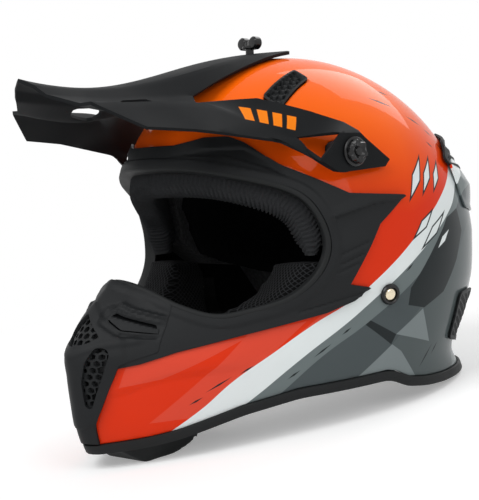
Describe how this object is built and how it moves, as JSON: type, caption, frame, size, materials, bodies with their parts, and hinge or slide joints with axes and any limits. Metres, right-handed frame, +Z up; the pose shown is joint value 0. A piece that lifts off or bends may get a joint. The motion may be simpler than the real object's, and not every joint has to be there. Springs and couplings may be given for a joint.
{
  "type": "motocross helmet",
  "caption": "Full-face motocross helmet with a tilting visor on thumb screws, vented chin bar, padded liner and a D-ring chin strap.",
  "frame": {"origin": "on the table under the middle of the helmet's bounding box", "axes": "+Z up, +Y towards the back of the helmet, -Y the way the face looks, +X the wearer's left"},
  "size_m": [0.2474, 0.3494, 0.2667],
  "materials": {
    "shell_paint": "gloss clear coat over printed colour blocks",
    "black_plastic": "fine matte grain",
    "spoiler_plastic": "gloss",
    "rubber": "matte",
    "foam": "moulded beads",
    "lining": "brushed and mesh knit",
    "webbing": "woven",
    "brass": "satin",
    "steel": "satin"
  },
  "bodies": {
    "helmet": {"base_trim": "rubber", "brow_pad": "lining", "cheek_pad_left": "lining", "cheek_pad_right": "lining", "chin_skirt": "rubber", "chin_vent_left": "black_plastic", "chin_vent_right": "black_plastic", "crown_pad": "lining", "crown_vent_left": "black_plastic", "crown_vent_right": "black_plastic", "eps_chin": "foam", "eps_crown": "foam", "eyeport_gasket": "rubber", "eyeport_surround": "black_plastic", "mouth_cover": "black_plastic", "mouth_grille": "black_plastic", "neck_roll": "lining", "outer_shell": "shell_paint", "rear_spoiler": "spoiler_plastic", "rear_vent_left": "black_plastic", "rear_vent_right": "black_plastic", "rivet_washer_left": "black_plastic", "rivet_washer_right": "black_plastic", "strap_left": "webbing", "strap_right": "webbing", "strap_rivet_left": "brass", "strap_rivet_right": "brass", "visor_boss_left": "black_plastic", "visor_boss_right": "black_plastic", "visor_boss_top": "black_plastic"},
    "visor": {"visor": "black_plastic"},
    "visor_screw_left": {"visor_screw_left": "black_plastic"},
    "visor_screw_right": {"visor_screw_right": "black_plastic"},
    "visor_screw_top": {"visor_screw_top": "black_plastic"},
    "d_ring_outer": {"d_ring_outer": "steel"},
    "d_ring_inner": {"d_ring_inner": "steel"}
  },
  "joints": [
    {"name": "visor_tilt", "type": "hinge", "parent": "helmet", "child": "visor", "pos_m": [0, 0.00536, 0.18274], "axis": [1, 0, 0], "range_deg": [-3, 6]},
    {"name": "visor_screw_left_turn", "type": "hinge", "parent": "helmet", "child": "visor_screw_left", "pos_m": [0.115, 0.00536, 0.18274], "axis": [1, 0, 0], "continuous": true},
    {"name": "visor_screw_right_turn", "type": "hinge", "parent": "helmet", "child": "visor_screw_right", "pos_m": [-0.115, 0.00536, 0.18274], "axis": [-1, 0, 0], "continuous": true},
    {"name": "visor_screw_top_turn", "type": "hinge", "parent": "helmet", "child": "visor_screw_top", "pos_m": [0, 0.02498, 0.25421], "axis": [0, 0.2124, 0.9772], "continuous": true},
    {"name": "d_ring_outer_swing", "type": "hinge", "parent": "helmet", "child": "d_ring_outer", "pos_m": [0.08569, 0.01782, 0.047], "axis": [0, 0.9772, -0.2124], "range_deg": [-30, 0]},
    {"name": "d_ring_inner_swing", "type": "hinge", "parent": "helmet", "child": "d_ring_inner", "pos_m": [0.08069, 0.01782, 0.047], "axis": [0, 0.9772, -0.2124], "range_deg": [0, 70]}
  ]
}
